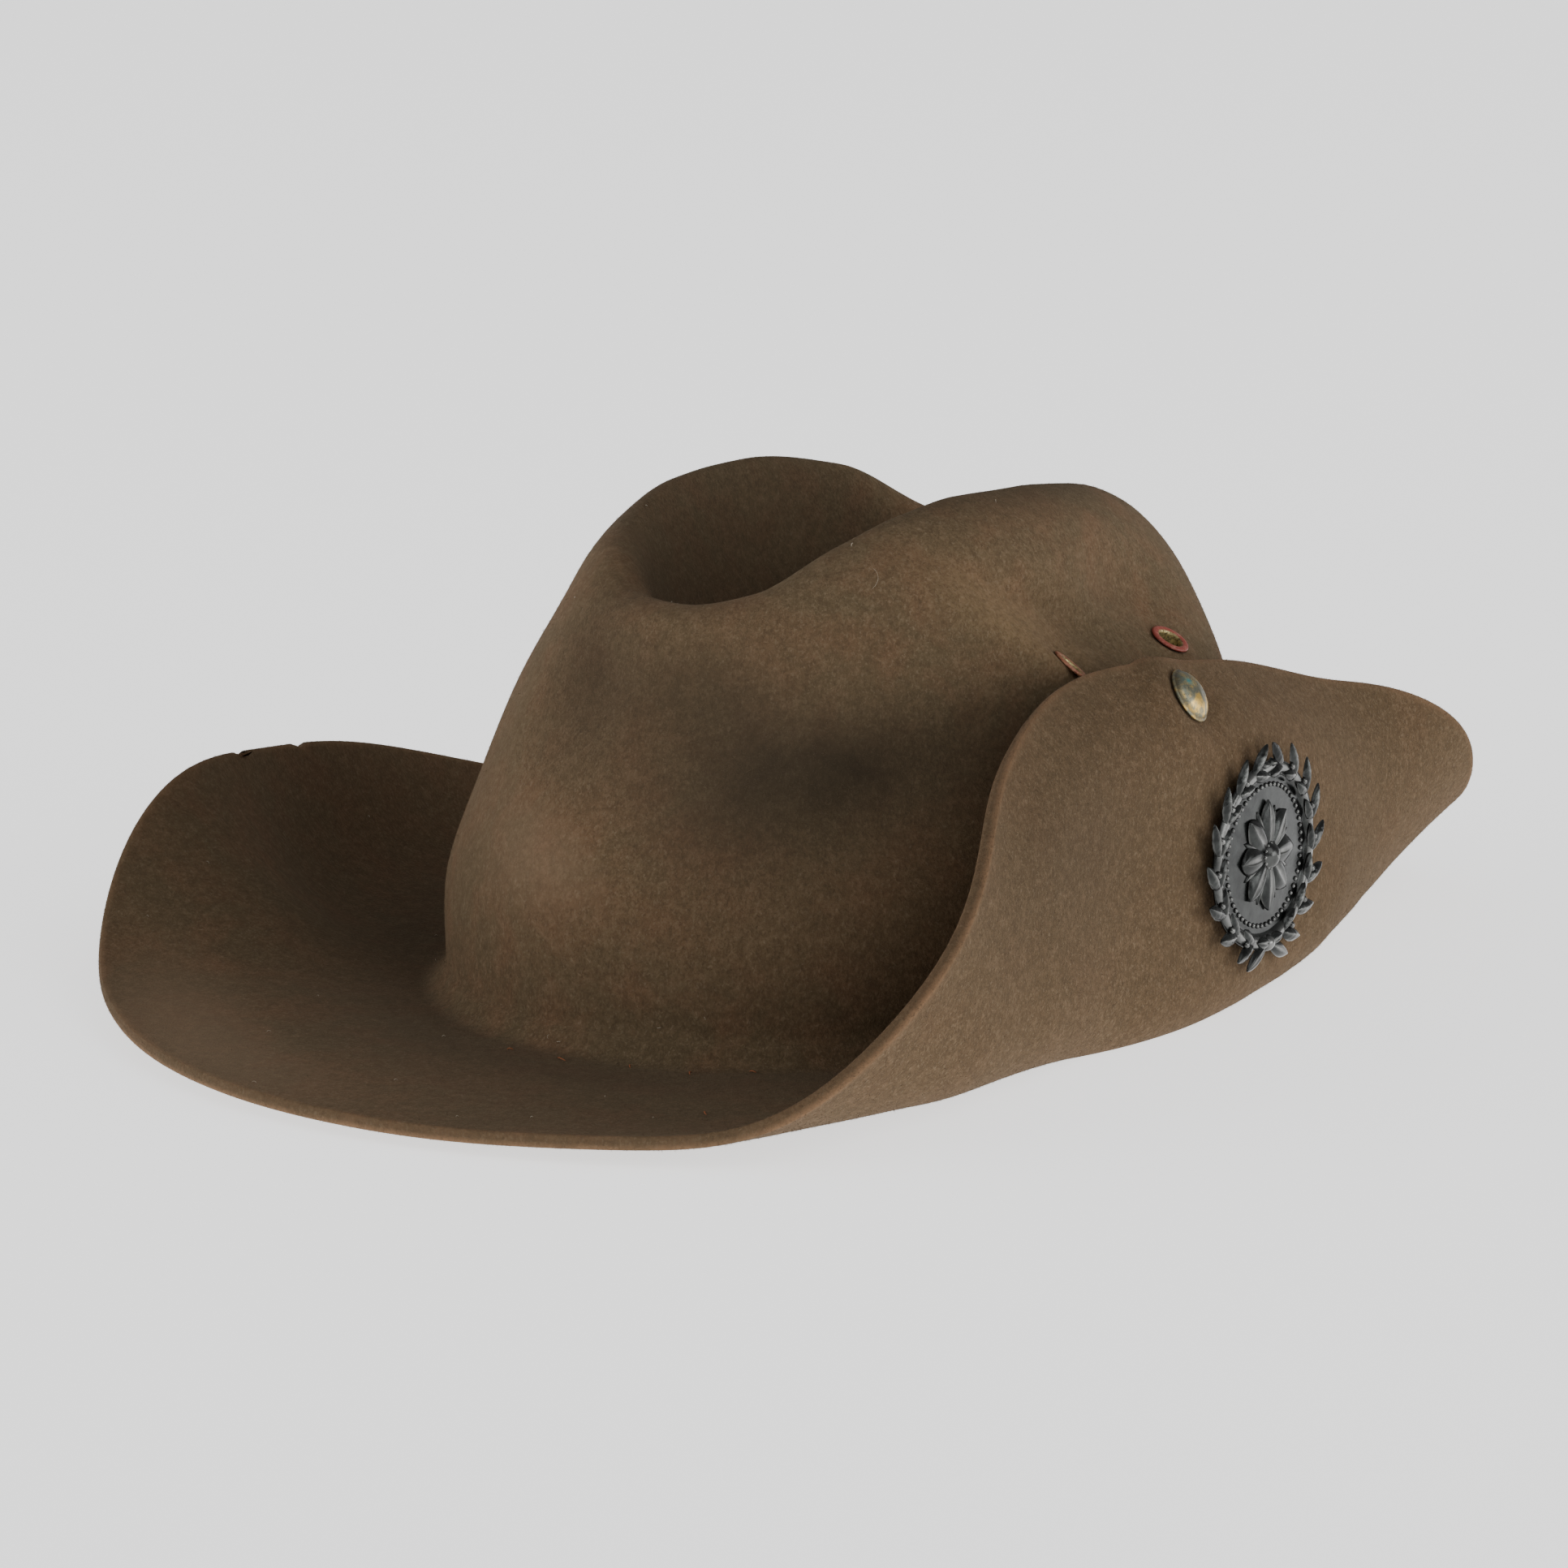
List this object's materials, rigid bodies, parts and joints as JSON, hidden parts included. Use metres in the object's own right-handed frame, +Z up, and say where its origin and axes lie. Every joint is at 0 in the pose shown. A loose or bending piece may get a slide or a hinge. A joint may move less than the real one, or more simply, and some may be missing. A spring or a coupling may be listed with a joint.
{
  "type": "slouch hat",
  "caption": "Wide-brimmed felt hat with a dented crown and its left brim fastened up, carrying a round wreath badge.",
  "frame": {"origin": "centre of the bounding box at the surface that the hat rests on", "axes": "+X towards the wearer's left (the turned-up side), -Y towards the front, +Z up"},
  "size_m": [0.261, 0.359, 0.1151],
  "materials": {
    "felt": "matt brown fur felt with a short nap",
    "enamelled_brass": "worn red enamel over brass",
    "brass": "tarnished, with green spots",
    "blackened_metal": "blackened, semi-gloss, rubbed on the raised edges"
  },
  "bodies": {
    "root": {"felt_body": "felt", "eyelet_front": "enamelled_brass", "eyelet_rear": "enamelled_brass", "brim_stud": "brass", "badge": "blackened_metal"}
  },
  "joints": []
}
